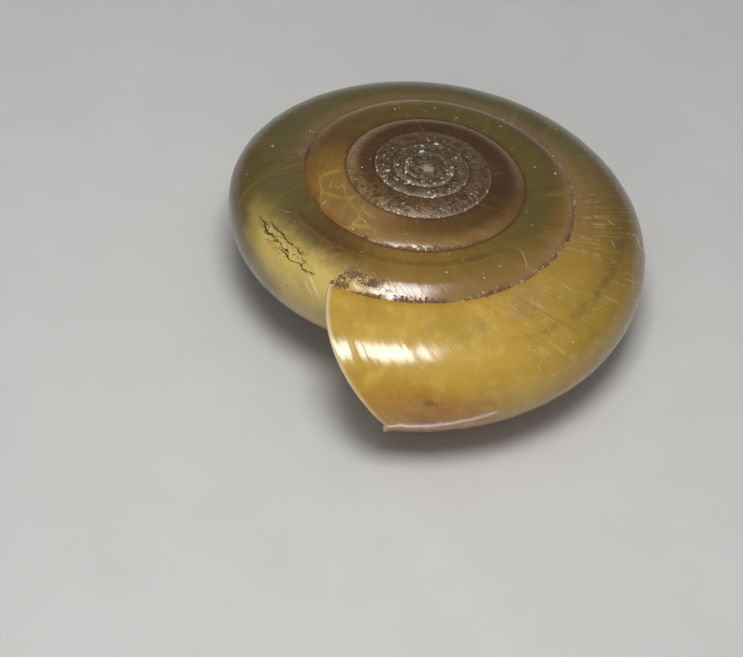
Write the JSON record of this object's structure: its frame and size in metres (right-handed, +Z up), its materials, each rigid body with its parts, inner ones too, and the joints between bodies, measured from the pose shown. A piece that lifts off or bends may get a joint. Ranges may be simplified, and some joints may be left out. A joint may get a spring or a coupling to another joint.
{
  "type": "land snail shell",
  "caption": "Empty land snail shell: a thin, glossy, low-domed right-handed coil with a rounded edge, a leaning open mouth and a narrow umbilicus.",
  "frame": {"origin": "on the surface it rests on, under the middle of the bounding box", "axes": "+Z up with the shell lying on its base and the apex on top, -Y the side that the mouth opens on, +Y the longest way across"},
  "size_m": [0.0126, 0.0138, 0.0051],
  "materials": {
    "shell_wall": "thin glossy translucent amber shell, golden near the mouth and brown towards the worn apex"
  },
  "bodies": {
    "root": {"shell": "shell_wall"}
  },
  "joints": []
}
